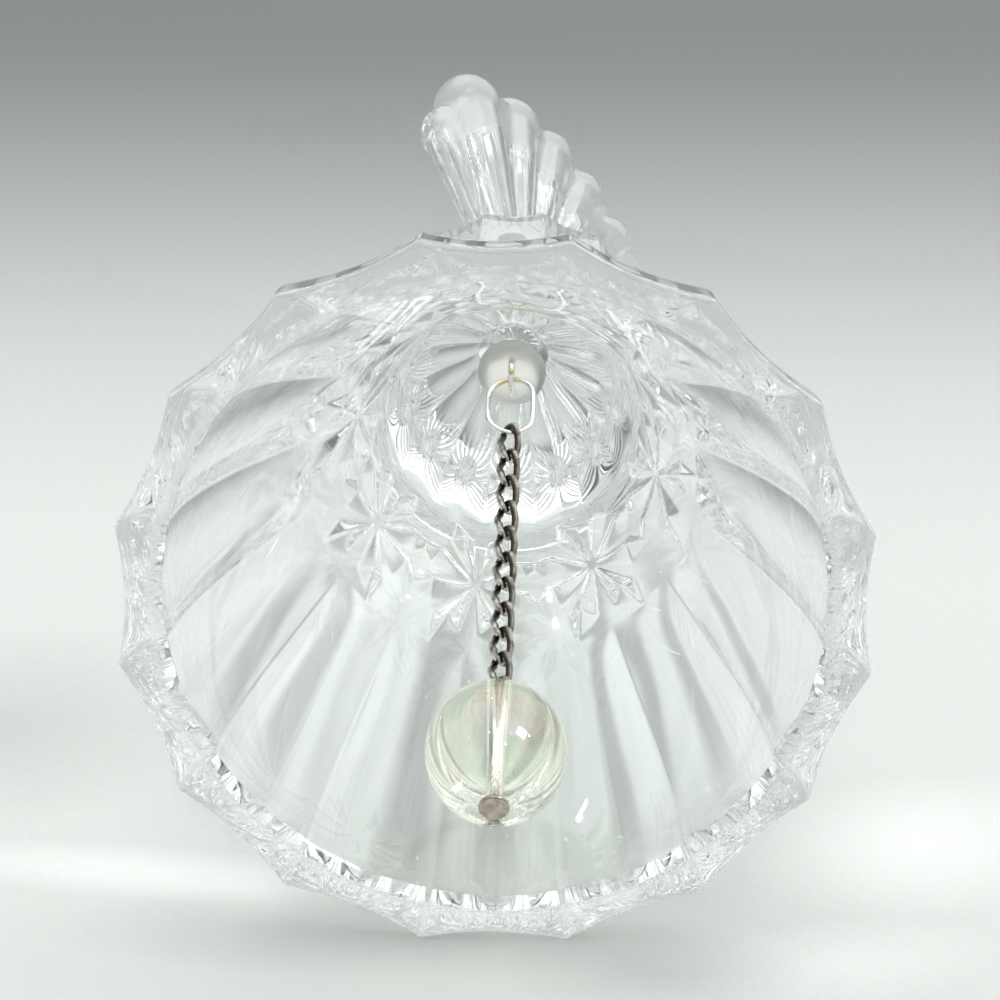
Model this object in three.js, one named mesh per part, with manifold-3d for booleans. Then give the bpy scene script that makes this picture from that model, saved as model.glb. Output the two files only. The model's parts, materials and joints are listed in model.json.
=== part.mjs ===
// Cut crystal hand bell with a bead clapper on a chain, lying on its side.
// Millimetres. The bell is built standing on its mouth: z = 0 at the lip and z rises to the handle.
// Once it lies down, +y of the standing bell points at the floor and z runs away from the viewer.
import * as THREE from 'three';
import Module from 'manifold-3d';

const wasm = await Module();
wasm.setup();

// Shared fits
const SEAT_GAP = 0.3;
const WIRE_GAP = 0.15;
const RAD = Math.PI / 180;

// Bell glass
const RIM_RADIUS = 38;
const FLUTES = 16;
const SCALLOP_DEPTH = 1.5;
const LIP_WIDTH = 5.2;
const LIP_BEVEL = 1.2;
const WALL = 4;
const WALL_TAPER = 20;
const WAIST_RADIUS = 17.5;
const WAIST_HEIGHT = 50;
const FLARE_CURVE = 0.75;
const FLUTE_TOP = 35;
const SHOULDER_START = 54;
const SHOULDER_HEIGHT = 66.5;
const SHOULDER_FLUTE_DEPTH = 0.8;
const NECK_RADIUS = 6.2;
const HOLLOW_SPRING = 52;
const HOLLOW_TOP = 65.8;
const SEGMENTS_PER_FLUTE = 4;

// Cut stars on the belt
const STARS = 8;
const STAR_HEIGHT = 44;
const STAR_TURN = 101.25 * RAD;
const STAR_RAYS = [10, 8.6, 8.6, 10, 10, 8.6, 8.6, 10];
const STAR_HEART = 0.5;
const STAR_WIDEST = 0.68;
const STAR_CUT_WIDTH = 1.6;
const STAR_CUT_DEPTH = 1.4;
const STAR_CUT_LIFT = 1;

// Handle
const STEM_FOOT_RADIUS = 5.9;
const STEM_WAIST_RADIUS = 3.9;
const STEM_KNOB_RADIUS = 5.6;
const STEM_LENGTH = 16;
const FAN_RIBS = 6;
const FAN_SINK = 5.2;
const FAN_RISE = 36.8;
const FAN_ARCH_RADIUS = 10;
const FAN_LEAN = 2.5;
const FAN_EDGE = 14.8;
const TIP_RADIUS = 3.85;
const TIP_TAPER = 0.93;
const BACK_ROW_TURN = 130 * RAD;
const BACK_ROW_OFFSET = 3.2;
const FRONT_ROW_TURN = 119 * RAD;
const FRONT_ROW_OFFSET = -2.4;
const FRONT_ROW_DROP = 5;
const FRONT_TIP_SHARE = 0.8;
const RIB_OVERLAP = 1.1;
const RIB_SIDES = 8;
const RIB_FOOT_SHARE = 0.5;
const RIB_GATHER = 4;
const ROW_GATHER = 3;
const TIP_CLOSE = 75 * RAD;
const WEB_SHARE = 0.62;
const WEB_END = 1.06;

// Hanger in the crown
const CEMENT_RADIUS = 3.8;
const CEMENT_DEPTH = 1.8;
const STAPLE_WIRE = 0.35;
const STAPLE_HALF_WIDTH = 1.7;
const STAPLE_BEND = 0.8;
const RING_WIRE = 0.31;
const RING_LENGTH = 8.7;
const RING_WIDTH = 5.6;

// Chain
const LINKS = 10;
const LINK_WIRE = 0.38;
const LINK_PITCH = 3.92;
const LINK_WIDTH = 2.7;
const LINK_TWIST = 45 * RAD;
const CHAIN_SAG = 0.9 * RAD;
const WIDEST_SWING = 45 * RAD;

// Bead on its pin
const PIN_WIRE = 0.35;
const EYE_RADIUS = 1.05;
const BORE_RADIUS = 0.65;
const BEAD_RADIUS = 7.3;
const BEAD_HALF_LENGTH = 7.9;
const CAP_RADIUS = 2.1;
const CAP_WALL = 0.5;
const PIN_HEAD_RADIUS = 1.6;
const PIN_HEAD_THICK = 0.5;
const REST_GAP = 2.4;

// Materials
const surface = (color, roughness, metalness) =>
  new THREE.MeshStandardMaterial({ color, roughness, metalness });
const crystal = surface(0xe4eeee, 0.05, 0);
const frostedCrystal = surface(0xeef2f2, 0.3, 0);
const cement = surface(0xcdbf98, 0.7, 0);
const brightWire = surface(0xd8d8d4, 0.25, 1);
const darkWire = surface(0x5a5048, 0.4, 1);
const beadGlass = surface(0xe6e8cf, 0.05, 0);

// A closed skin over a row of point rings. The ends are closed flat, or joined when the row is a loop.
function skin(rings, loop = false) {
  const count = rings[0].length;
  const points = rings.flat();
  const faces = [];
  const spans = loop ? rings.length : rings.length - 1;
  for (let i = 0; i < spans; i++) {
    const next = (i + 1) % rings.length;
    for (let j = 0; j < count; j++) {
      const k = (j + 1) % count;
      const a = i * count + j;
      const b = i * count + k;
      const c = next * count + k;
      const d = next * count + j;
      faces.push(a, b, c, a, c, d);
    }
  }
  if (!loop) {
    const last = (rings.length - 1) * count;
    const first = points.length;
    points.push(middle(rings[0]), middle(rings[rings.length - 1]));
    for (let j = 0; j < count; j++) {
      const k = (j + 1) % count;
      faces.push(first, k, j);
      faces.push(last + j, last + k, first + 1);
    }
  }
  const positions = new Float32Array(points.flatMap((p) => [p.x, p.y, p.z]));
  return toManifold(positions, new Uint32Array(faces));
}

function middle(ring) {
  const sum = ring.reduce((s, p) => s.add(p), new THREE.Vector3());
  return sum.divideScalar(ring.length);
}

function toManifold(vertProperties, triVerts) {
  return new wasm.Manifold(new wasm.Mesh({ numProp: 3, vertProperties, triVerts }));
}

function toMesh(name, solid, material) {
  const data = solid.getMesh();
  const geometry = new THREE.BufferGeometry();
  geometry.setAttribute('position', new THREE.BufferAttribute(new Float32Array(data.vertProperties), 3));
  geometry.setIndex(new THREE.BufferAttribute(new Uint32Array(data.triVerts), 1));
  geometry.computeVertexNormals();
  const mesh = new THREE.Mesh(geometry, material);
  mesh.name = name;
  return mesh;
}

// A ring of points about a centre, from two directions and two radii.
function ellipse(centre, side, across, sideRadius, acrossRadius, count) {
  return Array.from({ length: count }, (_, j) => {
    const a = (2 * Math.PI * j) / count;
    const point = centre.clone().addScaledVector(side, sideRadius * Math.cos(a));
    return point.addScaledVector(across, acrossRadius * Math.sin(a));
  });
}

const X = new THREE.Vector3(1, 0, 0);
const Y = new THREE.Vector3(0, 1, 0);

// A solid of revolution about z from [radius, height] pairs, listed upwards on its outside.
function turned(profile, count, loop = false) {
  const rings = profile.map(([r, z]) => ellipse(new THREE.Vector3(0, 0, z), X, Y, r, r, count));
  return skin(rings, loop);
}

// Round wire along a path; normals gives the sideways direction at each path point.
function wire(path, normals, radius, sides, loop) {
  const rings = path.map((point, i) => {
    const before = path[loop ? (i + path.length - 1) % path.length : Math.max(i - 1, 0)];
    const after = path[loop ? (i + 1) % path.length : Math.min(i + 1, path.length - 1)];
    const along = after.clone().sub(before).normalize();
    const side = normals[i].clone().addScaledVector(along, -normals[i].dot(along)).normalize();
    const across = along.clone().cross(side);
    return ellipse(point, side, across, radius, radius, sides);
  });
  return skin(rings, loop);
}

// Bell body: outside radius, hollow radius, flutes
const mix = (a, b, t) => a + (b - a) * t;
const smooth = (t) => t * t * (3 - 2 * t);

function outsideRadius(z) {
  if (z > SHOULDER_HEIGHT) {
    return Math.sqrt(WAIST_RADIUS ** 2 - (z - SHOULDER_HEIGHT) ** 2);
  }
  const t = Math.max(0, 1 - z / WAIST_HEIGHT);
  return WAIST_RADIUS + (RIM_RADIUS - WAIST_RADIUS) * mix(t, smooth(t), FLARE_CURVE);
}

function hollowRadius(z) {
  const wall = mix(LIP_WIDTH, WALL, Math.min(1, z / WALL_TAPER)) - Math.max(0, LIP_BEVEL - z);
  if (z <= HOLLOW_SPRING) {
    return outsideRadius(z) - wall;
  }
  const rise = (z - HOLLOW_SPRING) / (HOLLOW_TOP - HOLLOW_SPRING);
  return (outsideRadius(HOLLOW_SPRING) - wall) * Math.sqrt(1 - rise * rise);
}

function fluteDepth(z) {
  const skirt = SCALLOP_DEPTH * (1 - Math.min(1, z / FLUTE_TOP) ** 4);
  const rise = (z - SHOULDER_START) / (SHOULDER_HEIGHT - SHOULDER_START);
  return skirt + SHOULDER_FLUTE_DEPTH * smooth(THREE.MathUtils.clamp(rise, 0, 1));
}

const AROUND = FLUTES * SEGMENTS_PER_FLUTE;

// The flute points stand half a flute either side of straight down.
function flutedRing(z, radius, depth) {
  return Array.from({ length: AROUND }, (_, j) => {
    const a = (2 * Math.PI * (j + SEGMENTS_PER_FLUTE / 2)) / AROUND;
    const across = 2 * ((j % SEGMENTS_PER_FLUTE) / SEGMENTS_PER_FLUTE) - 1;
    const r = radius - depth * (1 - across * across);
    return new THREE.Vector3(r * Math.cos(a), r * Math.sin(a), z);
  });
}

const steps = (from, to, count) => Array.from({ length: count + 1 }, (_, i) => mix(from, to, i / count));
const CROWN_FLAT = CEMENT_RADIUS + SEAT_GAP;
const waistHollow = hollowRadius(HOLLOW_SPRING);
const CROWN_HEIGHT =
  HOLLOW_SPRING + (HOLLOW_TOP - HOLLOW_SPRING) * Math.sqrt(1 - (CROWN_FLAT / waistHollow) ** 2);
const crownTurns = steps(Math.asin(CROWN_FLAT / waistHollow), Math.PI / 2, 4);
const domeHeights = crownTurns.map((a) => HOLLOW_SPRING + (HOLLOW_TOP - HOLLOW_SPRING) * Math.cos(a));
const hollowHeights = [...domeHeights, ...steps(HOLLOW_SPRING, LIP_BEVEL, 8).slice(1), 0];
const NECK_HEIGHT = SHOULDER_HEIGHT + Math.sqrt(WAIST_RADIUS ** 2 - NECK_RADIUS ** 2);
const neckTurn = Math.acos(NECK_RADIUS / WAIST_RADIUS);
const shoulderHeights = steps(0, neckTurn, 6).map((a) => SHOULDER_HEIGHT + WAIST_RADIUS * Math.sin(a));
const skirtHeights = [...steps(0, FLUTE_TOP, 8), ...steps(FLUTE_TOP, SHOULDER_START, 4).slice(1)];
const outsideHeights = [...skirtHeights, ...steps(SHOULDER_START, SHOULDER_HEIGHT, 3).slice(1),
  ...shoulderHeights.slice(1)];
const bodyRings = [
  ...hollowHeights.map((z) => flutedRing(z, hollowRadius(z), 0)),
  ...outsideHeights.map((z) => flutedRing(z, outsideRadius(z), fluteDepth(z))),
];
let body = skin(bodyRings);

// Each star is eight leaf cuts round its heart, none of them along the bell's axis. A cut is a bent
// diamond as a wheel leaves it: its tips are on the belt, and it is deepest past the middle of the ray.
function beltPoint(turn, z) {
  const r = outsideRadius(z) - fluteDepth(z) / 2;
  return new THREE.Vector3(r * Math.cos(turn), r * Math.sin(turn), z);
}

function starCut(turn, ray, angle) {
  const spot = (along) => {
    const around = (along * Math.sin(angle)) / outsideRadius(STAR_HEIGHT);
    return beltPoint(turn + around, STAR_HEIGHT + along * Math.cos(angle));
  };
  const centre = spot(ray * STAR_WIDEST);
  const forward = spot(ray).sub(spot(STAR_HEART)).normalize();
  const outward = new THREE.Vector3(centre.x, centre.y, 0).normalize();
  const side = forward.clone().cross(outward).normalize();
  const normal = side.clone().cross(forward);
  const reach = STAR_CUT_WIDTH * (1 + STAR_CUT_LIFT / STAR_CUT_DEPTH);
  const corner = (up, across) => centre.clone().addScaledVector(normal, up).addScaledVector(side, across);
  const [tip, heart] = [spot(ray), spot(STAR_HEART)];
  const rim = [tip, corner(STAR_CUT_LIFT, reach), heart, corner(STAR_CUT_LIFT, -reach)];
  const corners = [...rim, corner(3 * STAR_CUT_LIFT, 0), corner(-STAR_CUT_DEPTH, 0)];
  const faces = [];
  for (let j = 0; j < 4; j++) {
    const k = (j + 1) % 4;
    faces.push(4, k, j);
    faces.push(5, j, k);
  }
  const positions = new Float32Array(corners.flatMap((p) => [p.x, p.y, p.z]));
  return toManifold(positions, new Uint32Array(faces));
}

let starCuts = null;
for (let s = 0; s < STARS; s++) {
  const turn = STAR_TURN + (2 * Math.PI * s) / STARS;
  for (let c = 0; c < STAR_RAYS.length; c++) {
    const cut = starCut(turn, STAR_RAYS[c], (2 * Math.PI * (c + 0.5)) / STAR_RAYS.length);
    starCuts = starCuts ? starCuts.add(cut) : cut;
  }
}
body = body.subtract(starCuts);

// Handle: a turned stem that spreads into two rows of ribs with rounded tips
const stemFoot = NECK_HEIGHT + SEAT_GAP;
const stemEnd = stemFoot + STEM_LENGTH;
const fanFoot = stemEnd - FAN_SINK;
const fanTop = stemEnd + FAN_RISE;
const stemShape = [[STEM_FOOT_RADIUS, 0], [STEM_WAIST_RADIUS, 0.22], [STEM_WAIST_RADIUS, 0.5],
  [STEM_KNOB_RADIUS, 0.72], [STEM_KNOB_RADIUS, 0.86], [STEM_WAIST_RADIUS, 1]];
const stemCurve = new THREE.SplineCurve(
  stemShape.map(([r, share]) => new THREE.Vector2(r, stemFoot + share * STEM_LENGTH)));
let handle = turned(stemCurve.getPoints(16).map((p) => [p.x, p.y]), 16);

// A rib is a club: narrow at the foot of the fan and round at its tip.
function rib(foot, tip, side, across, radius) {
  const along = tip.clone().sub(foot);
  const rings = steps(0, 1, 3).map((t) => {
    const width = radius * mix(RIB_FOOT_SHARE, 1, smooth(t));
    return ellipse(foot.clone().addScaledVector(along, t), side, across, width, width, RIB_SIDES);
  });
  const forward = along.clone().normalize();
  for (const turn of steps(0, TIP_CLOSE, 3).slice(1)) {
    const width = radius * Math.cos(turn);
    const point = tip.clone().addScaledVector(forward, radius * Math.sin(turn));
    rings.push(ellipse(point, side, across, width, width, RIB_SIDES));
  }
  return skin(rings);
}

// A row of ribs in the plane of the fan. Each rib also gives the place where the web meets it.
function ribRow(rowTurn, offset, drop, tipShare) {
  const lateral = new THREE.Vector3(Math.cos(rowTurn), -Math.sin(rowTurn), 0);
  const outward = new THREE.Vector3(Math.sin(rowTurn), Math.cos(rowTurn), 0);
  const row = [];
  let place = FAN_EDGE;
  let radius = TIP_RADIUS;
  for (let i = 0; i < FAN_RIBS; i++) {
    const tip = lateral.clone().multiplyScalar(place).addScaledVector(outward, offset);
    tip.z = fanTop - (place + FAN_LEAN) ** 2 / (2 * FAN_ARCH_RADIUS) - drop;
    const foot = lateral.clone().multiplyScalar(place / RIB_GATHER);
    foot.addScaledVector(outward, offset / ROW_GATHER);
    foot.z = fanFoot;
    const along = tip.clone().sub(foot).normalize();
    const side = outward.clone().cross(along).normalize();
    const across = along.clone().cross(side);
    const tipRadius = radius * tipShare * RIB_OVERLAP;
    handle = handle.add(rib(foot, tip, side, across, tipRadius));
    const bulge = outward.clone().multiplyScalar(Math.sign(offset) * tipRadius * WEB_SHARE);
    row.push({ foot, tip, bulge });
    place -= radius * (1 + TIP_TAPER);
    radius *= TIP_TAPER;
  }
  return row;
}

const backRow = ribRow(BACK_ROW_TURN, BACK_ROW_OFFSET, 0, 1);
const frontRow = ribRow(FRONT_ROW_TURN, FRONT_ROW_OFFSET, FRONT_ROW_DROP, FRONT_TIP_SHARE);

// One web runs from rib to rib and joins both rows, so that the fan is a scalloped shell.
const webRings = backRow.map((back, i) => {
  const [frontFoot, backFoot] = [frontRow[i], back].map(
    ({ foot, bulge }) => foot.clone().addScaledVector(bulge, RIB_FOOT_SHARE));
  const [frontTop, backTop] = [frontRow[i], back].map(
    ({ foot, tip, bulge }) => foot.clone().lerp(tip, WEB_END).add(bulge));
  return [frontFoot, frontTop, backTop, backFoot];
});
handle = handle.add(skin(webRings));

// Cement dab and the staple whose legs are set in it
const cementTop = CROWN_HEIGHT - SEAT_GAP;
const cementFace = cementTop - CEMENT_DEPTH;
const ringHook = cementFace - SEAT_GAP - RING_WIRE;
const stapleBar = ringHook - WIRE_GAP - RING_WIRE - STAPLE_WIRE;
const staplePath = [
  new THREE.Vector3(0, -STAPLE_HALF_WIDTH, cementTop - SEAT_GAP),
  ...steps(0, Math.PI / 2, 4).map((a) => new THREE.Vector3(
    0,
    STAPLE_BEND * (1 - Math.cos(a)) - STAPLE_HALF_WIDTH,
    STAPLE_BEND * (1 - Math.sin(a)) + stapleBar)),
  ...steps(Math.PI / 2, 0, 4).map((a) => new THREE.Vector3(
    0,
    STAPLE_HALF_WIDTH - STAPLE_BEND * (1 - Math.cos(a)),
    STAPLE_BEND * (1 - Math.sin(a)) + stapleBar)),
  new THREE.Vector3(0, STAPLE_HALF_WIDTH, cementTop - SEAT_GAP),
];
const sideways = staplePath.map(() => X);
const staple = wire(staplePath, sideways, STAPLE_WIRE, 10, false);
const legHoles = wire(staplePath, sideways, STAPLE_WIRE + WIRE_GAP, 10, false);
const dabShape = [[0.7, 0], [0.92, 0.3], [1, 1]].map(
  ([wide, high]) => [CEMENT_RADIUS * wide, cementFace + CEMENT_DEPTH * high]);
const dab = turned(dabShape, 24).subtract(legHoles);

// An oval loop of wire hung from its upper end: the wire's centre is at the origin there, and the
// loop runs down to z = -length. Its two ends are turned against each other by twice the twist.
function ovalLoop(length, width, radius, twist, sides) {
  const half = width / 2;
  const straight = length / 2 - half;
  const arc = steps(0, Math.PI, 6);
  const outline = [
    ...arc.map((a) => [half * Math.cos(a), straight + half * Math.sin(a)]),
    ...steps(straight, -straight, 4).slice(1, -1).map((z) => [-half, z]),
    ...arc.map((a) => [-half * Math.cos(a), -straight - half * Math.sin(a)]),
    ...steps(-straight, straight, 4).slice(1, -1).map((z) => [half, z]),
  ];
  const turns = outline.map(([, z]) => -twist * THREE.MathUtils.clamp(z / straight, -1, 1));
  const path = outline.map(([x, z], i) => new THREE.Vector3(
    x * Math.cos(turns[i]), x * Math.sin(turns[i]), z - length / 2));
  const normals = turns.map((a) => new THREE.Vector3(-Math.sin(a), Math.cos(a), 0));
  return wire(path, normals, radius, sides, true);
}

const ringRun = RING_LENGTH - 2 * RING_WIRE;
const ring = ovalLoop(ringRun, RING_WIDTH - 2 * RING_WIRE, RING_WIRE, 0, 8);
const LINK_LAP = 2 * LINK_WIRE + WIRE_GAP;
const linkRun = LINK_PITCH + LINK_LAP;
const link = ovalLoop(linkRun, LINK_WIDTH - 2 * LINK_WIRE, LINK_WIRE, LINK_TWIST, 6);

// Pin, cap and bead share an origin at the top of the pin's eye
const eyeFoot = -2 * EYE_RADIUS;
const capTop = eyeFoot - PIN_WIRE - WIRE_GAP;
const beadTop = capTop - CAP_WALL - SEAT_GAP;
const beadMiddle = beadTop - BEAD_HALF_LENGTH;
const beadEnd = beadMiddle - BEAD_HALF_LENGTH;
const beadHeight = (r) => BEAD_HALF_LENGTH * Math.sqrt(1 - (r / BEAD_RADIUS) ** 2);
const eyeTurns = steps(0, 2 * Math.PI, 20).slice(0, -1);
const eyeSide = new THREE.Vector3(Math.cos(LINK_TWIST), -Math.sin(LINK_TWIST), 0);
const eyePath = eyeTurns.map((a) => {
  const point = eyeSide.clone().multiplyScalar(EYE_RADIUS * Math.cos(a));
  point.z = EYE_RADIUS * (Math.sin(a) - 1);
  return point;
});
const eyeNormal = new THREE.Vector3(Math.sin(LINK_TWIST), Math.cos(LINK_TWIST), 0);
const eye = wire(eyePath, eyePath.map(() => eyeNormal), PIN_WIRE, 8, true);
const pinHeadTop = beadEnd - WIRE_GAP;
const shank = turned([[PIN_HEAD_RADIUS * 0.85, pinHeadTop - PIN_HEAD_THICK],
  [PIN_HEAD_RADIUS, pinHeadTop - PIN_HEAD_THICK * 0.6], [PIN_HEAD_RADIUS, pinHeadTop],
  [PIN_WIRE, pinHeadTop], [PIN_WIRE, eyeFoot]], 16);
const pin = shank.add(eye);

const capShape = steps(BORE_RADIUS, CAP_RADIUS, 3).map((r) => [r, beadMiddle + beadHeight(r) + SEAT_GAP]);
const capLow = capShape.map(([r, z]) => [r, z]);
const capHigh = capShape.map(([r, z]) => [r, z + CAP_WALL]).reverse();
const cap = turned([...capLow, ...capHigh], 18, true);

const boreTurn = Math.asin(BORE_RADIUS / BEAD_RADIUS);
const beadTurns = steps(-Math.PI / 2 + boreTurn, Math.PI / 2 - boreTurn, 12);
const beadShape = beadTurns.map(
  (a) => [BEAD_RADIUS * Math.cos(a), beadMiddle + BEAD_HALF_LENGTH * Math.sin(a)]);
const bead = turned(beadShape, 22, true);

// The clapper hangs from the ring down to the lower wall of the bell: the swing of the ring is found
// where the bead is one rest gap off the wall, which keeps it clear of the collision hulls there.
const DOWN_CHAIN = (swing) => new THREE.Vector3(0, Math.sin(swing), -Math.cos(swing));
const ringReach = ringRun - RING_WIRE - LINK_WIRE - WIRE_GAP;
const pinReach = linkRun - LINK_WIRE - PIN_WIRE - WIRE_GAP;

function hang(swing) {
  const spots = [{ at: new THREE.Vector3(0, 0, ringHook), swing }];
  let at = spots[0].at.clone().addScaledVector(DOWN_CHAIN(swing), ringReach);
  let turn = swing;
  for (let i = 0; i < LINKS; i++) {
    turn -= CHAIN_SAG;
    spots.push({ at, swing: turn });
    const reach = i < LINKS - 1 ? LINK_PITCH : pinReach;
    at = at.clone().addScaledVector(DOWN_CHAIN(turn), reach);
  }
  turn -= CHAIN_SAG;
  spots.push({ at, swing: turn });
  const heart = at.clone().addScaledVector(DOWN_CHAIN(turn), -beadMiddle);
  return { spots, heart };
}

function wallClearance(heart) {
  const gaps = steps(0, HOLLOW_SPRING, 208).map((z) => Math.hypot(hollowRadius(z) - heart.y, z - heart.z));
  return Math.min(...gaps) - Math.max(BEAD_RADIUS, BEAD_HALF_LENGTH);
}

let low = 0;
let high = WIDEST_SWING;
for (let i = 0; i < 40; i++) {
  const swing = (low + high) / 2;
  if (wallClearance(hang(swing).heart) > REST_GAP) {
    low = swing;
  } else {
    high = swing;
  }
}
const { spots } = hang(low);

// Assembly
const standing = new THREE.Group();
standing.name = 'standing_bell';
standing.add(toMesh('bell_body', body, crystal));
const handleMesh = toMesh('handle', handle, frostedCrystal);
standing.add(handleMesh);
standing.add(toMesh('crown_cement', dab, cement));
standing.add(toMesh('staple', staple, brightWire));

function hung(name, spot, meshes) {
  const group = new THREE.Group();
  group.name = name;
  group.position.copy(spot.at);
  group.rotation.x = spot.swing;
  meshes.forEach((mesh) => group.add(mesh));
  standing.add(group);
}

hung('ring_hang', spots[0], [toMesh('hanger_ring', ring, brightWire)]);
for (let i = 1; i <= LINKS; i++) {
  const number = String(i).padStart(2, '0');
  hung(`link_${number}_hang`, spots[i], [toMesh(`chain_link_${number}`, link, darkWire)]);
}
hung('bead_hang', spots[LINKS + 1], [
  toMesh('head_pin', pin, darkWire),
  toMesh('bead_cap', cap, darkWire),
  toMesh('clapper_bead', bead, beadGlass),
]);

// Lying down: the two lowest points of the rim and the lowest rib tip are on the floor
const rimFoot = RIM_RADIUS * Math.cos(Math.PI / FLUTES);
const handlePoints = handleMesh.geometry.getAttribute('position');
let lean = Infinity;
for (let i = 0; i < handlePoints.count; i++) {
  lean = Math.min(lean, (rimFoot - handlePoints.getY(i)) / handlePoints.getZ(i));
}
const tilt = Math.atan(lean);
standing.rotation.x = -(Math.PI / 2 + tilt);
standing.position.z = rimFoot * Math.cos(tilt);

const bell = new THREE.Group();
bell.name = 'crystal_bell';
bell.add(standing);
bell.updateMatrixWorld(true);
const box = new THREE.Box3().setFromObject(bell, true);
standing.position.y = -(box.min.y + box.max.y) / 2;
bell.updateMatrixWorld(true);

export default bell;
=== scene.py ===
"""Crystal hand bell lying on its side, with a bead clapper on a chain, seen into its mouth."""
import json
import math

import bpy
import numpy as np
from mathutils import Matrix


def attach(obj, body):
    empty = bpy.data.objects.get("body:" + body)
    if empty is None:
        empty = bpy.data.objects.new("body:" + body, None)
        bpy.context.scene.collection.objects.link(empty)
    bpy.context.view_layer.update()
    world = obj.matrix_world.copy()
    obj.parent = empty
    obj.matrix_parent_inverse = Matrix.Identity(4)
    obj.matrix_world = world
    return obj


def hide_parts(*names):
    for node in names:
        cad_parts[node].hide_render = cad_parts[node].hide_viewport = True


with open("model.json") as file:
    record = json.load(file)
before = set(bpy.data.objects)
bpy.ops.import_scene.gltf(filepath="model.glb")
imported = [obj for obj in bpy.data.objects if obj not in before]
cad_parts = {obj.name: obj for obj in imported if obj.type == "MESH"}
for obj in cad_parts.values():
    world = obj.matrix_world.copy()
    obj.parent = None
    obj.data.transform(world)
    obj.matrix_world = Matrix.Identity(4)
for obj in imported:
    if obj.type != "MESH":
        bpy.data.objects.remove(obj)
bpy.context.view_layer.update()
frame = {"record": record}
scene = bpy.context.scene

# Bell glass
# One blown and cut piece of clear lead crystal: a flat ground lip with sixteen scallops, hollow
# flutes up the skirt, a belt of eight wheel-cut stars, and a fluted shoulder under the handle.
LIP_MOUNT_RADIUS = 35.25
RIM_RADIUS, WAIST_RADIUS, WAIST_HEIGHT, FLARE_CURVE = 38.0, 17.5, 50.0, 0.75
LIP_WIDTH, LIP_BEVEL, LIP_ROUND, WALL, WALL_TAPER, EDGE = 5.2, 1.2, 0.35, 4.0, 20.0, 0.1
FLUTES, SCALLOP_DEPTH, FLUTE_TOP = 16, 1.5, 35.0
SHOULDER_START, SHOULDER_HEIGHT, SHOULDER_FLUTE = 54.0, 66.5, 0.8
NECK_RADIUS, HOLLOW_SPRING, HOLLOW_TOP, CROWN_FLAT = 6.2, 52.0, 65.8, 4.1
STARS, STAR_HEIGHT, STAR_TURN = 8, 44.0, math.radians(101.25)
STAR_RAYS, STAR_HEART, STAR_WIDEST = (10.0, 8.6, 8.6, 10.0, 10.0, 8.6, 8.6, 10.0), 0.5, 0.68
STAR_CUT_WIDTH, STAR_CUT_DEPTH, BELT_FROM, BELT_TO = 1.6, 1.4, 30.0, 57.5
PER_FLUTE, DOME_ROWS, LAMP_SHARE = 30, 12, 0.6

# The bell is worked out standing on its mouth in millimetres, z rising from the lip. Laid down, its
# +y points at the floor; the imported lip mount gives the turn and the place.
lip_mount = next(m for m in frame["record"]["mounts"] if m["name"] == "lip")
standing_z = -np.array(lip_mount["axis"])
standing_y = np.cross(standing_z, [1.0, 0.0, 0.0])
standing_axes = np.array([[1.0, 0.0, 0.0], standing_y, standing_z])
mouth_middle = np.array(lip_mount["pos_m"]) - standing_y * LIP_MOUNT_RADIUS / 1000


def laid(points):
    """Standing millimetres to metres in the row frame: the three axes times the three places."""
    return mouth_middle + points @ standing_axes / 1000


def skin(rings, loop=False):
    """Points and faces over a grid: each ring of points is closed, each joins the next, and the
    ends are closed by a fan to the ring's middle, or joined to each other when loop is set."""
    n, m = rings.shape[:2]
    here = np.arange(n * m).reshape(n, m)
    low, high = (here, np.roll(here, -1, axis=0)) if loop else (here[:-1], here[1:])
    quads = np.stack([low, np.roll(low, -1, 1), np.roll(high, -1, 1), high], axis=-1).reshape(-1, 4)
    points = rings.reshape(-1, 3)
    if loop:
        return points, quads.tolist()
    first = np.stack([np.full(m, n * m), np.roll(here[0], -1), here[0]], axis=-1)
    last = np.stack([here[-1], np.roll(here[-1], -1), np.full(m, n * m + 1)], axis=-1)
    points = np.vstack([points, rings[[0, -1]].mean(axis=1)])
    return points, quads.tolist() + first.tolist() + last.tolist()


def add_piece(name, shells):
    """One smooth mesh object from closed shells of standing points, laid down at the origin."""
    starts = np.cumsum([0] + [len(points) for points, _ in shells])
    faces = [[i + start for i in face] for (_, part), start in zip(shells, starts) for face in part]
    mesh = bpy.data.meshes.new(name)
    mesh.from_pydata(laid(np.vstack([points for points, _ in shells])).tolist(), [], faces)
    mesh.polygons.foreach_set("use_smooth", np.ones(len(faces), dtype=bool))
    mesh.update()
    piece = bpy.data.objects.new(name, mesh)
    scene.collection.objects.link(piece)
    return piece


def outside_radius(z):
    """Plain outside: a flare that eases from the rim to the waist, then a ball over the shoulder."""
    t = np.clip(1 - z / WAIST_HEIGHT, 0, 1)
    flare = t + (t * t * (3 - 2 * t) - t) * FLARE_CURVE
    ball = np.sqrt(np.clip(WAIST_RADIUS**2 - np.clip(z - SHOULDER_HEIGHT, 0, None) ** 2, 0, None))
    return np.where(z > SHOULDER_HEIGHT, ball, WAIST_RADIUS + (RIM_RADIUS - WAIST_RADIUS) * flare)


def flute_depth(z):
    """Depth of the hollow flutes: full at the lip, none from the flute top, and again on the shoulder."""
    skirt = SCALLOP_DEPTH * (1 - np.clip(z / FLUTE_TOP, 0, 1) ** 4)
    rise = np.clip((z - SHOULDER_START) / (SHOULDER_HEIGHT - SHOULDER_START), 0, 1)
    return skirt + SHOULDER_FLUTE * rise * rise * (3 - 2 * rise)


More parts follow.
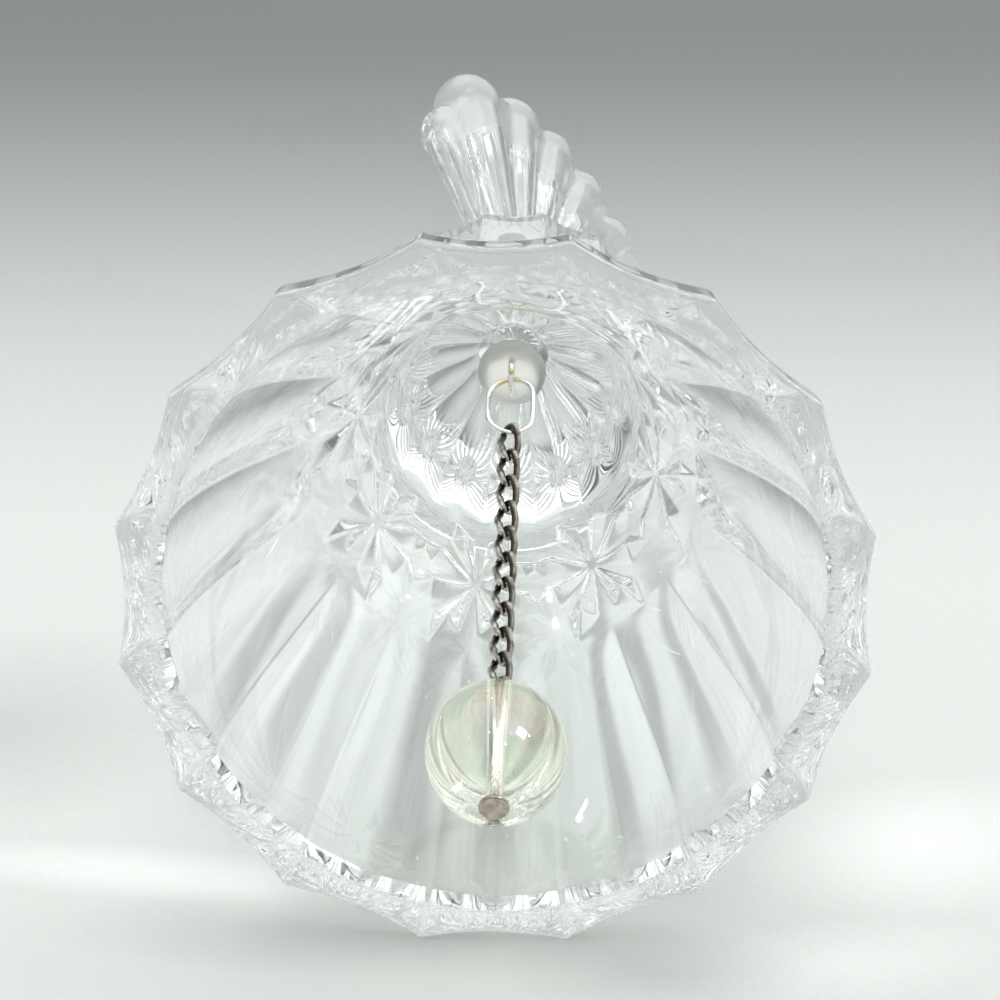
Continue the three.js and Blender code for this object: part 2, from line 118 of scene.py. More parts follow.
def star_depth(turn, z):
    """Depth of the wheel cuts, one leaf for each ray: a V that runs out at the heart and at the tip
    and is deepest between, depth = full depth * (share along - across / half width); the deepest wins."""
    step = 2 * math.pi / STARS
    around = (turn - STAR_TURN + step / 2) % step - step / 2
    v, u = around * outside_radius(np.array(STAR_HEIGHT)), z - STAR_HEIGHT
    cuts = []
    for number, ray in enumerate(STAR_RAYS):
        a = 2 * math.pi * (number + 0.5) / len(STAR_RAYS)
        along, across = u * math.cos(a) + v * math.sin(a), v * math.cos(a) - u * math.sin(a)
        widest = ray * STAR_WIDEST
        share = np.minimum((along - STAR_HEART) / (widest - STAR_HEART), (ray - along) / (ray - widest))
        cuts.append(share - np.abs(across) / STAR_CUT_WIDTH)
    return STAR_CUT_DEPTH * np.max(cuts, axis=0)


def cut_radius(turn, z):
    """Outside with its flutes, hollow between sharp ridges, less whatever the star wheel took off."""
    across = 2 * ((turn / (2 * math.pi) * FLUTES - 0.5) % 1) - 1
    fluted = outside_radius(z) - flute_depth(z) * (1 - across**2)
    belt = outside_radius(z) - flute_depth(z) / 2
    return np.minimum(fluted, belt - star_depth(turn, z))


def hollow_radius(z):
    """Inside below the dome: the plain outside less a wall that thins a little above the lip, opened
    at the lip by a bevel."""
    wall = LIP_WIDTH + (WALL - LIP_WIDTH) * np.clip(z / WALL_TAPER, 0, 1)
    return outside_radius(z) - wall + np.clip(LIP_BEVEL - z, 0, None)


turn = 2 * math.pi * (np.arange(FLUTES * PER_FLUTE) / (FLUTES * PER_FLUTE) + 0.5 / FLUTES)
spring_radius = float(hollow_radius(np.array(HOLLOW_SPRING)))
dome = np.linspace(math.asin(CROWN_FLAT / spring_radius), math.pi / 2, DOME_ROWS)
dome_rise = HOLLOW_TOP - HOLLOW_SPRING
inside_z = np.concatenate([
    HOLLOW_SPRING + dome_rise * np.cos(dome), np.linspace(HOLLOW_SPRING, LIP_BEVEL + EDGE, 24)[1:],
    [LIP_BEVEL - EDGE, EDGE]])
inside_r = hollow_radius(inside_z)
inside_r[:DOME_ROWS] = spring_radius * np.sin(dome)
curl = np.linspace(0, math.pi / 2, 5)[:-1, None]
lip_inner = hollow_radius(np.zeros(1)) + EDGE
lip_outer = cut_radius(turn, np.full_like(turn, LIP_ROUND)) - LIP_ROUND
neck = np.linspace(0, math.acos(NECK_RADIUS / WAIST_RADIUS), 16)[1:]
outside_z = np.concatenate([
    np.linspace(LIP_ROUND, BELT_FROM, 28), np.linspace(BELT_FROM, BELT_TO, 96)[1:],
    np.linspace(BELT_TO, SHOULDER_HEIGHT, 9)[1:], SHOULDER_HEIGHT + WAIST_RADIUS * np.sin(neck)])
flat = np.linspace(0, 1, 4)[:-1, None]
radius = np.vstack([
    np.repeat(inside_r[:, None], len(turn), axis=1), lip_inner * (1 - flat) + lip_outer * flat,
    lip_outer + LIP_ROUND * np.sin(curl), cut_radius(turn, outside_z[:, None])])
height = np.concatenate([inside_z, np.zeros(len(flat)), LIP_ROUND * (1 - np.cos(curl[:, 0])), outside_z])
bell_rings = np.stack([
    radius * np.cos(turn), radius * np.sin(turn), np.repeat(height[:, None], len(turn), axis=1)], axis=-1)
bell_glass = add_piece("bell_glass", [skin(bell_rings)])
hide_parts("bell_body")
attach(bell_glass, "bell")


def effect_group(name, inputs, outputs):
    """An empty shader node group with named sockets, and its input and output nodes."""
    group = bpy.data.node_groups.new(name, "ShaderNodeTree")
    for kind, sockets in (("INPUT", inputs), ("OUTPUT", outputs)):
        for socket_name, socket_type in sockets:
            group.interface.new_socket(socket_name, in_out=kind, socket_type="NodeSocket" + socket_type)
    return group, group.nodes.new("NodeGroupInput"), group.nodes.new("NodeGroupOutput")


def noise_of(nodes, links, coordinate, scale, detail):
    """A noise texture on a coordinate socket, with its scale from a number or a socket."""
    noise = nodes.new("ShaderNodeTexNoise")
    noise.inputs["Detail"].default_value = detail
    links.new(coordinate, noise.inputs["Vector"])
    if isinstance(scale, (int, float)):
        noise.inputs["Scale"].default_value = scale
    else:
        links.new(scale, noise.inputs["Scale"])
    return noise.outputs["Fac"]


def remapped(nodes, links, value, low, high, new_low, new_high):
    """A value eased from one range to another."""
    node = nodes.new("ShaderNodeMapRange")
    node.interpolation_type = "SMOOTHSTEP"
    ends = {"From Min": low, "From Max": high, "To Min": new_low, "To Max": new_high}
    for socket, number in ends.items():
        node.inputs[socket].default_value = number
    links.new(value, node.inputs["Value"])
    return node.outputs["Result"]


# Polished glass: drawn tint, wiped haze and the shallow ripple that acid polishing leaves
glass_polish, polish_in, polish_out = effect_group(
    "glass_polish", [("Thin", "Color"), ("Deep", "Color"), ("Scale", "Float")],
    [("Tint", "Color"), ("Haze", "Float"), ("Ripple", "Float")])
polish_place = glass_polish.nodes.new("ShaderNodeTexCoord").outputs["Object"]
polish_parts = (glass_polish.nodes, glass_polish.links)
cloud = noise_of(*polish_parts, polish_place, polish_in.outputs["Scale"], 2)
tint = glass_polish.nodes.new("ShaderNodeMix")
tint.data_type = "RGBA"
glass_polish.links.new(cloud, tint.inputs["Factor"])
glass_polish.links.new(polish_in.outputs["Thin"], tint.inputs["A"])
glass_polish.links.new(polish_in.outputs["Deep"], tint.inputs["B"])
glass_polish.links.new(tint.outputs["Result"], polish_out.inputs["Tint"])
wiped = noise_of(*polish_parts, polish_place, 420, 4)
glass_polish.links.new(remapped(*polish_parts, wiped, 0.45, 0.8, 0, 0.035), polish_out.inputs["Haze"])
glass_polish.links.new(noise_of(*polish_parts, polish_place, 260, 1), polish_out.inputs["Ripple"])


def new_material(name):
    """An empty node material with one Principled shader, and its nodes, links and shader."""
    material = bpy.data.materials.new(name)
    material.use_nodes = True
    tree = material.node_tree
    return material, tree.nodes, tree.links, tree.nodes["Principled BSDF"]


def lets_lamps_through(nodes, links, shader, share):
    """Glass passes a share of the lamps' straight light, so the floor under it isn't in full shadow."""
    path, part = nodes.new("ShaderNodeLightPath"), nodes.new("ShaderNodeMath")
    clear, mix = nodes.new("ShaderNodeBsdfTransparent"), nodes.new("ShaderNodeMixShader")
    part.operation = "MULTIPLY"
    part.inputs[1].default_value = share
    links.new(path.outputs["Is Shadow Ray"], part.inputs[0])
    links.new(part.outputs[0], mix.inputs[0])
    links.new(shader.outputs[0], mix.inputs[1])
    links.new(clear.outputs[0], mix.inputs[2])
    links.new(mix.outputs[0], nodes["Material Output"].inputs["Surface"])


def polished(nodes, links, shader, thin, deep, scale, bump):
    """Feeds a glass shader from the polish group: tint to colour, haze to roughness, ripple to bump."""
    effect, normal = nodes.new("ShaderNodeGroup"), nodes.new("ShaderNodeBump")
    effect.node_tree = glass_polish
    effect.inputs["Thin"].default_value = thin
    effect.inputs["Deep"].default_value = deep
    effect.inputs["Scale"].default_value = scale
    normal.inputs["Strength"].default_value = bump
    normal.inputs["Distance"].default_value = 0.0002
    links.new(effect.outputs["Tint"], shader.inputs["Base Color"])
    links.new(effect.outputs["Ripple"], normal.inputs["Height"])
    links.new(normal.outputs["Normal"], shader.inputs["Normal"])
    return effect


crystal, crystal_nodes, crystal_links, crystal_shader = new_material("lead_crystal")
crystal_shader.inputs["Transmission Weight"].default_value = 1.0
crystal_shader.inputs["IOR"].default_value = 1.56
crystal_effect = polished(
    crystal_nodes, crystal_links, crystal_shader,
    thin=(0.985, 0.995, 0.99, 1), deep=(0.95, 0.98, 0.975, 1), scale=60, bump=0.04)
crystal_links.new(crystal_effect.outputs["Haze"], crystal_shader.inputs["Roughness"])
lets_lamps_through(crystal_nodes, crystal_links, crystal_shader, LAMP_SHARE)
bell_glass.data.materials.append(crystal)

# Handle
# Moulded crystal: a turned stem that spreads into a scalloped fan of two rows of round-tipped ribs.
# It is set on the crown; the taller back row is satin, the front row is left clear.
STEM_FOOT, STEM_WAIST, STEM_KNOB, STEM_LENGTH, SEAT_GAP = 5.9, 3.9, 5.6, 16.0, 0.3
FAN_SINK, FAN_RISE, FAN_ARCH_RADIUS, FAN_LEAN, FAN_EDGE, FAN_RIBS = 5.2, 36.8, 10.0, 2.5, 14.8, 6
TIP_RADIUS, TIP_TAPER, RIB_OVERLAP, RIB_FOOT, RIB_GATHER, ROW_GATHER = 3.85, 0.93, 1.1, 0.5, 4.0, 3.0
BACK_ROW = (math.radians(130), 3.2, 0.0, 1.0)
FRONT_ROW = (math.radians(119), -2.4, 5.0, 0.8)
WEB_SHARE, WEB_END = 0.62, 1.06
NECK_SHARE, BALL_END = 0.5, math.radians(86)
SATIN_LINE, SATIN_FADE, SATIN_ROUGH = 8.0, 7.0, 0.42

neck_height = SHOULDER_HEIGHT + math.sqrt(WAIST_RADIUS**2 - NECK_RADIUS**2)
stem_foot = neck_height + SEAT_GAP
stem_end = stem_foot + STEM_LENGTH


def round_section(centres, sides, acrosses, radii, count):
    """Rings about a row of centres: centre + side * r cos a + across * r sin a."""
    a = 2 * math.pi * np.arange(count)[:, None] / count
    reach = np.asarray(radii)[:, None, None]
    return centres[:, None] + reach * (sides[:, None] * np.cos(a) + acrosses[:, None] * np.sin(a))


def turned(profile, count):
    """Rings about the z axis from radius and height pairs."""
    centres = np.column_stack([np.zeros((len(profile), 2)), profile[:, 1]])
    x, y = np.tile([1.0, 0, 0], (len(profile), 1)), np.tile([0, 1.0, 0], (len(profile), 1))
    return round_section(centres, x, y, profile[:, 0], count)


def club(foot, tip, side, across, radius):
    """A rib: it swells from its narrow foot by an eased share to a neck, and ends in a ball."""
    t, ball = np.linspace(0, 1, 12)[:-1], np.linspace(-math.asin(NECK_SHARE), BALL_END, 14)
    forward = (tip - foot) / np.linalg.norm(tip - foot)
    neck = tip - radius * math.sin(-ball[0]) * forward
    shaft = foot + t[:, None] * (neck - foot)
    centres = np.vstack([shaft, tip + radius * np.sin(ball)[:, None] * forward])
    swell = RIB_FOOT + (math.cos(ball[0]) - RIB_FOOT) * t * t * (3 - 2 * t)
    radii = radius * np.concatenate([swell, np.cos(ball)])
    sides, acrosses = np.tile(side, (len(radii), 1)), np.tile(across, (len(radii), 1))
    return round_section(centres, sides, acrosses, radii, 24)


def fan_row(row_turn, offset, drop, tip_share):
    """Ribs side by side along a line across the axis, their tips on an arch; with each its web edge."""
    lateral = np.array([math.cos(row_turn), -math.sin(row_turn), 0])
    outward = np.array([math.sin(row_turn), math.cos(row_turn), 0])
    upward = np.array([0, 0, 1.0])
    place, radius, ribs, edges = FAN_EDGE, TIP_RADIUS, [], []
    for _ in range(FAN_RIBS):
        rise = stem_end + FAN_RISE - (place + FAN_LEAN) ** 2 / (2 * FAN_ARCH_RADIUS) - drop
        tip = lateral * place + outward * offset + upward * rise
        gathered = lateral * place / RIB_GATHER + outward * offset / ROW_GATHER
        foot = gathered + upward * (stem_end - FAN_SINK)
        along = (tip - foot) / np.linalg.norm(tip - foot)
        side = np.cross(outward, along)
        side /= np.linalg.norm(side)
        tip_radius = radius * tip_share * RIB_OVERLAP
        ribs.append(skin(club(foot, tip, side, np.cross(along, side), tip_radius)))
        bulge = outward * math.copysign(tip_radius * WEB_SHARE, offset)
        edges.append((foot + bulge * RIB_FOOT, foot + (tip - foot) * WEB_END + bulge))
        place -= radius * (1 + TIP_TAPER)
        radius *= TIP_TAPER
    return ribs, edges


# The stem eases between its foot, waist and knob
stem_share = np.linspace(0, 1, 40)
stem_radius = np.interp(stem_share, (0, 0.22, 0.5, 0.72, 0.86, 1), (
    STEM_FOOT, STEM_WAIST, STEM_WAIST, STEM_KNOB, STEM_KNOB, STEM_WAIST))
stem_radius[1:-1] = (stem_radius[:-2] + 2 * stem_radius[1:-1] + stem_radius[2:]) / 4
stem = skin(turned(np.column_stack([stem_radius, stem_foot + stem_share * STEM_LENGTH]), 48))
back_ribs, back_edges = fan_row(*BACK_ROW)
front_ribs, front_edges = fan_row(*FRONT_ROW)
web = np.array([[f[0], f[1], b[1], b[0]] for f, b in zip(front_edges, back_edges)])
fan_handle = add_piece("fan_handle", [stem, *back_ribs, *front_ribs, skin(web)])
moulded = fan_handle.modifiers.new("one_casting", "REMESH")
moulded.mode = "VOXEL"
moulded.voxel_size = 0.0003
moulded.use_smooth_shade = True
eased = fan_handle.modifiers.new("fire_polish", "SMOOTH")
eased.factor = 0.5
eased.iterations = 5
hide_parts("handle")
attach(fan_handle, "bell")

satin, satin_nodes, satin_links, satin_shader = new_material("satin_crystal")
satin_shader.inputs["Transmission Weight"].default_value = 0.96
satin_shader.inputs["IOR"].default_value = 1.52
satin_shader.inputs["Coat Weight"].default_value = 1.0
satin_shader.inputs["Coat Roughness"].default_value = 0.03
polished(
    satin_nodes, satin_links, satin_shader,
    thin=(0.97, 0.985, 0.98, 1), deep=(0.93, 0.955, 0.95, 1), scale=90, bump=0.15)

# Satin is where the back row's balls rise over a line under the arch of their tips; the rest is clear
satin_parts = (satin_nodes, satin_links)
fan_place = satin_nodes.new("ShaderNodeMapping")
fan_place.vector_type = "POINT"
fan_place.inputs["Location"].default_value = -laid(np.array([[0, 0, stem_end]]))[0]
satin_links.new(satin_nodes.new("ShaderNodeTexCoord").outputs["Object"], fan_place.inputs["Vector"])


def fan_reach(direction):
    """How far each point of the fan is from the stem's end along a standing direction, in metres."""
    reach = satin_nodes.new("ShaderNodeVectorMath")
    reach.operation = "DOT_PRODUCT"
    reach.inputs[1].default_value = np.array(direction) @ standing_axes
    satin_links.new(fan_place.outputs["Vector"], reach.inputs[0])
    return reach.outputs["Value"]


def satin_math(operation, *values):
    """One math node on sockets or numbers."""
    node = satin_nodes.new("ShaderNodeMath")
    node.operation = operation
    for socket, value in zip(node.inputs, values):
        if isinstance(value, (int, float)):
            socket.default_value = value
        else:
            satin_links.new(value, socket)
    return node.outputs[0]


lean = satin_math("ADD", fan_reach([math.cos(BACK_ROW[0]), -math.sin(BACK_ROW[0]), 0]), FAN_LEAN / 1000)
bow = satin_math("MULTIPLY", lean, lean)
over_arch = satin_math("MULTIPLY_ADD", bow, 1000 / (2 * FAN_ARCH_RADIUS), fan_reach([0, 0, 1.0]))
satin_from = FAN_RISE - SATIN_LINE - SATIN_FADE
satin_full = FAN_RISE - SATIN_LINE
on_balls = remapped(*satin_parts, over_arch, satin_from / 1000, satin_full / 1000, 0.01, SATIN_ROUGH)
across_fan = fan_reach([math.sin(BACK_ROW[0]), math.cos(BACK_ROW[0]), 0])
in_back_row = remapped(*satin_parts, across_fan, -0.001, 0.002, 0, 1)
satin_links.new(satin_math("MULTIPLY", on_balls, in_back_row), satin_shader.inputs["Roughness"])
lets_lamps_through(satin_nodes, satin_links, satin_shader, LAMP_SHARE)
fan_handle.data.materials.append(satin)

# Crown cement
# A dab of clear resin that has yellowed, pressed under the crown round the legs of the staple.
CEMENT_RADIUS, CEMENT_DEPTH = 3.8, 1.8
crown_height = HOLLOW_SPRING + dome_rise * math.cos(dome[0])
cement_top = crown_height - SEAT_GAP
cement_face = cement_top - CEMENT_DEPTH
bulge_turn = np.linspace(0, math.pi / 2, 10)
dab_radius = np.concatenate([[0.35, 0.55], 0.7 + 0.3 * np.sin(bulge_turn)]) * CEMENT_RADIUS
dab_share = np.concatenate([[0.02, 0.0], 0.02 + 0.98 * (1 - np.cos(bulge_turn))])
dab_height = cement_face + dab_share * CEMENT_DEPTH
crown_dab = add_piece("crown_dab", [skin(turned(np.column_stack([dab_radius, dab_height]), 48))])
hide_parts("crown_cement")
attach(crown_dab, "bell")

resin, resin_nodes, resin_links, resin_shader = new_material("yellowed_resin")
resin_place = resin_nodes.new("ShaderNodeTexCoord").outputs["Object"]
resin_tone = resin_nodes.new("ShaderNodeValToRGB")
resin_tone.color_ramp.elements[0].color = (0.965, 0.95, 0.88, 1)
resin_tone.color_ramp.elements[1].color = (0.985, 0.98, 0.96, 1)
resin_links.new(noise_of(resin_nodes, resin_links, resin_place, 900, 4), resin_tone.inputs["Fac"])
resin_links.new(resin_tone.outputs["Color"], resin_shader.inputs["Base Color"])
resin_bump = resin_nodes.new("ShaderNodeBump")
resin_bump.inputs["Strength"].default_value = 0.2
resin_bump.inputs["Distance"].default_value = 0.0003
resin_links.new(noise_of(resin_nodes, resin_links, resin_place, 1500, 3), resin_bump.inputs["Height"])
resin_links.new(resin_bump.outputs["Normal"], resin_shader.inputs["Normal"])
resin_shader.inputs["Roughness"].default_value = 0.32
resin_shader.inputs["Transmission Weight"].default_value = 0.9
resin_shader.inputs["IOR"].default_value = 1.5
crown_dab.data.materials.append(resin)

# Staple
# Bright plated wire bent to a U, both legs set in the resin; the ring hangs on its bar.
STAPLE_WIRE, STAPLE_HALF, STAPLE_BEND, WIRE_GAP, RING_WIRE = 0.35, 1.7, 0.8, 0.15, 0.31
ring_hook = cement_face - SEAT_GAP - RING_WIRE
staple_bar = ring_hook - WIRE_GAP - RING_WIRE - STAPLE_WIRE


def wire(path, normals, radius, count, loop):
    """Round wire: at each path point the side is the normal less its part along the wire."""
    if loop:
        along = np.roll(path, -1, axis=0) - np.roll(path, 1, axis=0)
    else:
        along = np.gradient(path, axis=0)
    along /= np.linalg.norm(along, axis=1, keepdims=True)
    side = normals - along * np.sum(normals * along, axis=1, keepdims=True)
    side /= np.linalg.norm(side, axis=1, keepdims=True)
    radii = np.broadcast_to(radius, len(path))
    return round_section(path, side, np.cross(along, side), radii, count)


bend = np.linspace(0, math.pi / 2, 10)
leg_y = STAPLE_BEND * (1 - np.cos(bend)) - STAPLE_HALF
leg_z = STAPLE_BEND * (1 - np.sin(bend)) + staple_bar
staple_y = np.concatenate([[-STAPLE_HALF], leg_y, -leg_y[::-1], [STAPLE_HALF]])
staple_z = np.concatenate([[cement_top - SEAT_GAP], leg_z, leg_z[::-1], [cement_top - SEAT_GAP]])
staple_path = np.column_stack([np.zeros(len(staple_y)), staple_y, staple_z])
staple_rings = wire(staple_path, np.tile([1.0, 0, 0], (len(staple_path), 1)), STAPLE_WIRE, 14, False)
staple_wire = add_piece("staple_wire", [skin(staple_rings)])
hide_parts("staple")
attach(staple_wire, "bell")

# Plated wire: two tones that trade places by wear, with rubbed patches and fine drawn scratches
worn_plating, plating_in, plating_out = effect_group(
    "worn_plating", [("Plate", "Color"), ("Rubbed", "Color"), ("Wear", "Float"), ("Scale", "Float")],
    [("Tone", "Color"), ("Dullness", "Float"), ("Pits", "Float")])
plating_parts = (worn_plating.nodes, worn_plating.links)
plating_place = worn_plating.nodes.new("ShaderNodeTexCoord").outputs["Object"]
patches = noise_of(*plating_parts, plating_place, plating_in.outputs["Scale"], 5)
worn = worn_plating.nodes.new("ShaderNodeMath")
worn.operation = "MULTIPLY"
worn_plating.links.new(remapped(*plating_parts, patches, 0.3, 0.62, 0.15, 1), worn.inputs[0])
worn_plating.links.new(plating_in.outputs["Wear"], worn.inputs[1])
tone = worn_plating.nodes.new("ShaderNodeMix")
tone.data_type = "RGBA"
worn_plating.links.new(worn.outputs[0], tone.inputs["Factor"])
worn_plating.links.new(plating_in.outputs["Plate"], tone.inputs["A"])
worn_plating.links.new(plating_in.outputs["Rubbed"], tone.inputs["B"])
worn_plating.links.new(tone.outputs["Result"], plating_out.inputs["Tone"])
dullness = remapped(*plating_parts, worn.outputs[0], 0, 1, 0.34, 0.10)
worn_plating.links.new(dullness, plating_out.inputs["Dullness"])
worn_plating.links.new(noise_of(*plating_parts, plating_place, 5200, 3), plating_out.inputs["Pits"])


def plated(name, plate, rubbed, scale, bump):
    """A plated metal from the wear group, worn where the mesh attribute named wear is high."""
    material, nodes, links, shader = new_material(name)
    effect, normal = nodes.new("ShaderNodeGroup"), nodes.new("ShaderNodeBump")
    mask = nodes.new("ShaderNodeAttribute")
    effect.node_tree = worn_plating
    mask.attribute_name = "wear"
    effect.inputs["Plate"].default_value = plate
    effect.inputs["Rubbed"].default_value = rubbed
    effect.inputs["Scale"].default_value = scale
    links.new(mask.outputs["Fac"], effect.inputs["Wear"])
    normal.inputs["Strength"].default_value = bump
    normal.inputs["Distance"].default_value = 0.00003
    shader.inputs["Metallic"].default_value = 1.0
    links.new(effect.outputs["Tone"], shader.inputs["Base Color"])
    links.new(effect.outputs["Dullness"], shader.inputs["Roughness"])
    links.new(effect.outputs["Pits"], normal.inputs["Height"])
    links.new(normal.outputs["Normal"], shader.inputs["Normal"])
    return material


def set_wear(piece, wear):
    """Stores how rubbed each point is: 0 is plate, 1 rubbed in patches, more rubbed all over."""
    layer = piece.data.attributes.new("wear", "FLOAT", "POINT")
    layer.data.foreach_set("value", np.asarray(wear, dtype=np.float32))


bright_plate = plated(
    "bright_plate", plate=(0.80, 0.66, 0.38, 1), rubbed=(0.93, 0.93, 0.92, 1), scale=700, bump=0.3)
set_wear(staple_wire, np.full(len(staple_wire.data.vertices), 1.4))
staple_wire.data.materials.append(bright_plate)

# Hanger ring
# An oval of bright plated wire through the staple, sprung a little by the first link; its top has
# kept a gold tone where it isn't rubbed.
RING_LENGTH, RING_WIDTH, RING_SPRING = 8.7, 5.6, math.radians(8)
LINKS, CHAIN_SAG = 10, math.radians(0.9)
joint_place = {j["name"]: j for j in frame["record"]["behaviour"]["joints"]}
pin_line = standing_axes @ np.array(joint_place["bead_spin"]["axis"])
pin_line *= -math.copysign(1, pin_line[2])
bead_swing = math.atan2(pin_line[1], -pin_line[2])
swings = bead_swing + CHAIN_SAG * np.arange(LINKS + 1, -1, -1)


def hung(rings, place, swing):
    """Turns points about x by the swing and moves them to where they hang."""
    x, y, z = np.moveaxis(rings, -1, 0)
    c, s = math.cos(swing), math.sin(swing)
    return np.stack([x, y * c - z * s, y * s + z * c], axis=-1) + place


def oval_loop(length, width, radius, twist, count):
    """Wire round a stadium that hangs from its upper end at z = 0: two half rounds and two straights,
    turned about z by -twist at the upper round to +twist at the lower one."""
    half = width / 2
    straight = length / 2 - half
    a, run = np.linspace(0, math.pi, 18), np.linspace(straight, -straight, 10)[1:-1]
    side_run = np.full(len(run), half)
    x = np.concatenate([half * np.cos(a), -side_run, -half * np.cos(a), side_run])
    z = np.concatenate([straight + half * np.sin(a), run, -straight - half * np.sin(a), run[::-1]])
    turns = -twist * np.clip(z / straight, -1, 1)
    path = np.column_stack([x * np.cos(turns), x * np.sin(turns), z - length / 2])
    normals = np.column_stack([-np.sin(turns), np.cos(turns), np.zeros(len(turns))])
    return wire(path, normals, radius, count, True)


ring_run = RING_LENGTH - 2 * RING_WIRE
ring_rings = oval_loop(ring_run, RING_WIDTH - 2 * RING_WIRE, RING_WIRE, RING_SPRING, 16)
hook = np.array([0, 0, ring_hook])
ring_wire = add_piece("ring_wire", [skin(hung(ring_rings, hook, swings[0]), loop=True)])
ring_drop = -ring_rings[..., 2].reshape(-1) / ring_run
set_wear(ring_wire, np.clip(0.1 + 8.0 * ring_drop, 0, 4))
ring_wire.data.materials.append(bright_plate)
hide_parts("hanger_ring")
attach(ring_wire, "ring")

# Curb chain
# Ten links of dark plated wire, each bent to an oval and twisted so that the chain lies flat; the
# plating is tarnished in the crooks and rubbed bright on the outside of each bow.
LINK_WIRE, LINK_PITCH, LINK_WIDTH, LINK_TWIST, PIN_WIRE = 0.38, 3.92, 2.7, math.radians(45), 0.35
link_run = LINK_PITCH + 2 * LINK_WIRE + WIRE_GAP
link_rings = oval_loop(link_run, LINK_WIDTH - 2 * LINK_WIRE, LINK_WIRE, LINK_TWIST, 12)
link_middle = link_rings.mean(axis=1, keepdims=True)
outside_of_bow = np.sum((link_rings - link_middle) * (link_middle - link_middle.mean(axis=0)), axis=-1)
link_wear = np.clip(0.15 + 1.5 * outside_of_bow / np.abs(outside_of_bow).max(), 0, 1).reshape(-1)
dark_plate = plated(
    "tarnished_plate", plate=(0.062, 0.053, 0.045, 1), rubbed=(0.80, 0.75, 0.66, 1), scale=1100, bump=0.4)


def down_chain(swing):
    """Unit step along the chain: straight down turned about x by the swing."""
    return np.array([0, math.sin(swing), -math.cos(swing)])


at = hook + down_chain(swings[0]) * (ring_run - RING_WIRE - LINK_WIRE - WIRE_GAP)
for number in range(1, LINKS + 1):
    swing = swings[number]
    curb_link = add_piece(f"curb_link_{number:02d}", [skin(hung(link_rings, at, swing), loop=True)])
    set_wear(curb_link, link_wear)
    curb_link.data.materials.append(dark_plate)
    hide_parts(f"chain_link_{number:02d}")
    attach(curb_link, f"link_{number:02d}")
    step = LINK_PITCH if number < LINKS else link_run - LINK_WIRE - PIN_WIRE - WIRE_GAP
    at = at + down_chain(swing) * step

# Head pin
# One piece of dark wire: a flat head under the bead, a shank through its bore and the cap, and an
# eye turned at the top that the last link holds.
EYE_RADIUS, BORE_RADIUS, BEAD_RADIUS, BEAD_HALF = 1.05, 0.65, 7.3, 7.9
CAP_RADIUS, CAP_WALL, PIN_HEAD, PIN_HEAD_THICK = 2.1, 0.5, 1.6, 0.5
eye_foot = -2 * EYE_RADIUS
bead_top = eye_foot - PIN_WIRE - WIRE_GAP - CAP_WALL - SEAT_GAP
bead_middle = bead_top - BEAD_HALF
head_top = bead_middle - BEAD_HALF - WIRE_GAP
eye_turn = np.linspace(-math.pi / 2, 1.42 * math.pi, 40)
eye_line = EYE_RADIUS * np.cos(eye_turn)
shank_z = np.linspace(head_top, eye_foot - 0.3, 24)
head_z = head_top - PIN_HEAD_THICK + PIN_HEAD_THICK * np.array([0, 0.04, 0.2, 0.4, 0.7, 0.9, 0.97])
head_r = PIN_HEAD * np.array([0.8, 0.88, 0.96, 1, 1, 0.97, 0.9])
pin_z = np.concatenate([head_z, shank_z, EYE_RADIUS * (np.sin(eye_turn) - 1)])
pin_across = np.concatenate([np.zeros(len(head_z) + len(shank_z)), eye_line])
pin_radius = np.concatenate([head_r, np.full(len(shank_z) + len(eye_turn), PIN_WIRE)])
eye_side = np.array([math.cos(LINK_TWIST), -math.sin(LINK_TWIST), 0])
eye_normal = np.array([math.sin(LINK_TWIST), math.cos(LINK_TWIST), 0])
pin_path = pin_across[:, None] * eye_side + pin_z[:, None] * np.array([0, 0, 1.0])
pin_rings = wire(pin_path, np.tile(eye_normal, (len(pin_path), 1)), pin_radius, 20, False)
pin_wire = add_piece("pin_wire", [skin(hung(pin_rings, at, swings[-1]))])
pin_wear = np.where(pin_rings[..., 2].reshape(-1) < head_top, 0.75, 0.4)
set_wear(pin_wire, np.append(pin_wear, [0.6, 0.4]))
taupe_plate = plated(
    "taupe_plate", plate=(0.36, 0.30, 0.25, 1), rubbed=(0.74, 0.67, 0.60, 1), scale=900, bump=0.3)
pin_wire.data.materials.append(taupe_plate)
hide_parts("head_pin")
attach(pin_wire, "pin")

# Bead cap
# A small pressed cup of the same dark metal that sits on the bead and spreads the pull of the pin.
CAP_BRIM, CAP_SIDES = 0.12, 48
cap_r = np.linspace(BORE_RADIUS, CAP_RADIUS, 8)
cap_z = bead_middle + BEAD_HALF * np.sqrt(1 - (cap_r / BEAD_RADIUS) ** 2) + SEAT_GAP
brim = np.linspace(-math.pi / 2, math.pi / 2, 6)[1:-1]
cap_radius = np.concatenate([cap_r, CAP_RADIUS + CAP_BRIM * np.cos(brim), cap_r[::-1]])
brim_z = cap_z[-1] + CAP_WALL * (1 + np.sin(brim)) / 2
cap_height = np.concatenate([cap_z, brim_z, cap_z[::-1] + CAP_WALL])
cap_rings = turned(np.column_stack([cap_radius, cap_height]), CAP_SIDES)
bead_cup = add_piece("bead_cup", [skin(hung(cap_rings, at, swings[-1]), loop=True)])
set_wear(bead_cup, np.repeat(np.where(cap_radius > CAP_RADIUS - 0.1, 0.8, 0.3), CAP_SIDES))
bead_cup.data.materials.append(dark_plate)
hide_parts("bead_cap")
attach(bead_cup, "pin")

